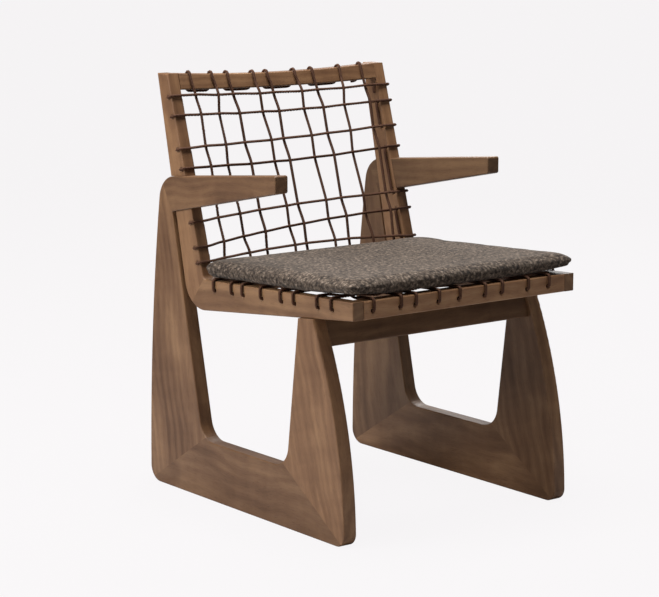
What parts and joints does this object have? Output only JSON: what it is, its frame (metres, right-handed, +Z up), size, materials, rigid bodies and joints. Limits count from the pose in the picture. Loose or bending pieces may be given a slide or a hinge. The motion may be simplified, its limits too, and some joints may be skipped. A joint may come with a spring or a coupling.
{
  "type": "wooden armchair",
  "caption": "Low-armed wooden easy chair with sled side frames, cord-laced back and seat, and a thin loose seat cushion.",
  "frame": {"origin": "on the floor, in the middle of the chair's box", "axes": "+X to the chair's side that is on the right from the front, +Y to the back, +Z up"},
  "size_m": [0.5216, 0.6253, 0.7845],
  "materials": {
    "wood": "oiled walnut, satin",
    "joint_wood": "beech, raw",
    "cord": "twisted cord, matt",
    "cover": "tweed, matt",
    "foam": "open foam, matt"
  },
  "bodies": {
    "frame": {"back_cross_cord": "cord", "back_long_cord": "cord", "front_rail": "wood", "front_rail_dowels": "joint_wood", "front_stretcher": "wood", "left_arm": "wood", "left_arm_tenon": "joint_wood", "left_corner_tenon": "joint_wood", "left_front_leg": "wood", "left_heel_tenon": "joint_wood", "left_rear_leg": "wood", "left_runner": "wood", "left_seat_rail": "wood", "left_stile": "wood", "left_toe_tenon": "joint_wood", "leg_top_dowels": "joint_wood", "rear_rail": "wood", "rear_rail_dowels": "joint_wood", "right_arm": "wood", "right_arm_tenon": "joint_wood", "right_corner_tenon": "joint_wood", "right_front_leg": "wood", "right_heel_tenon": "joint_wood", "right_rear_leg": "wood", "right_runner": "wood", "right_seat_rail": "wood", "right_stile": "wood", "right_toe_tenon": "joint_wood", "seat_cross_cord": "cord", "seat_long_cord": "cord", "stretcher_dowels": "joint_wood", "top_rail": "wood", "top_rail_dowels": "joint_wood"},
    "cushion": {"cushion_cover": "cover", "cushion_foam": "foam"}
  },
  "joints": [
    {"name": "cushion_lift", "type": "slide", "parent": "frame", "child": "cushion", "axis": [0, 0, 1], "range_m": [0, 0.08]}
  ]
}
